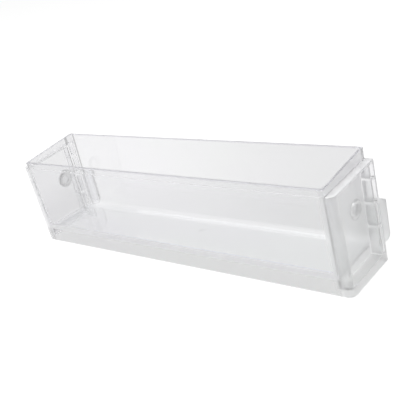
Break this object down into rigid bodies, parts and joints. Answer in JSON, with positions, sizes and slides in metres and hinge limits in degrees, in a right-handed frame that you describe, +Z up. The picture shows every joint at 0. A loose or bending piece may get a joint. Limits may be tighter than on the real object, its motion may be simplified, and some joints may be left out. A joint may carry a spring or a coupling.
{
  "type": "fridge door shelf",
  "caption": "Clear moulded trough that hangs on the inside of a fridge door, with framed and ribbed ends, round stops and hollow hanger tongues behind the back wall.",
  "frame": {"origin": "middle of the shelf's own box, in the plane of the skirt's lower edge", "axes": "+X along the shelf, +Y from the front wall to the door, +Z up"},
  "size_m": [0.411, 0.0874, 0.1099],
  "materials": {
    "clear_plastic": "clear, glossy, as moulded"
  },
  "bodies": {
    "root": {"door_shelf": "clear_plastic"}
  },
  "joints": []
}
